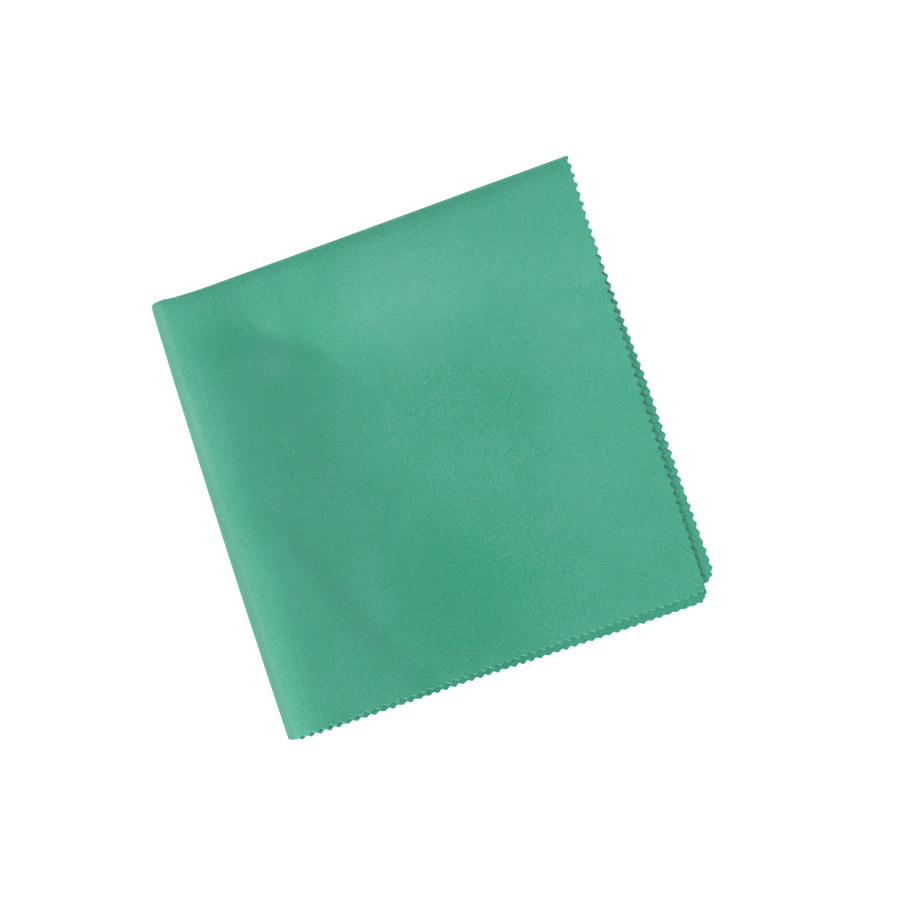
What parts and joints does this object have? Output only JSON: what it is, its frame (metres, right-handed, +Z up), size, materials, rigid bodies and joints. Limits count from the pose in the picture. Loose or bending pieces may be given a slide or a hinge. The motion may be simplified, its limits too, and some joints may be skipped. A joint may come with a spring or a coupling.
{
  "type": "folded microfibre cleaning cloth",
  "caption": "Square green microfibre suede cleaning cloth with pinked edges, folded in half twice and lying flat, its two folds softly raised.",
  "frame": {"origin": "bottom centre of the folded cloth's box, on the surface it lies on", "axes": "+Z up through the four layers, +Y towards the first fold, +X away from the second fold, towards the open pinked edges"},
  "size_m": [0.153, 0.1562, 0.0102],
  "materials": {
    "suede": "matt microfibre suede, fine short nap, jade green"
  },
  "bodies": {
    "root": {"cloth": "suede"}
  },
  "joints": []
}
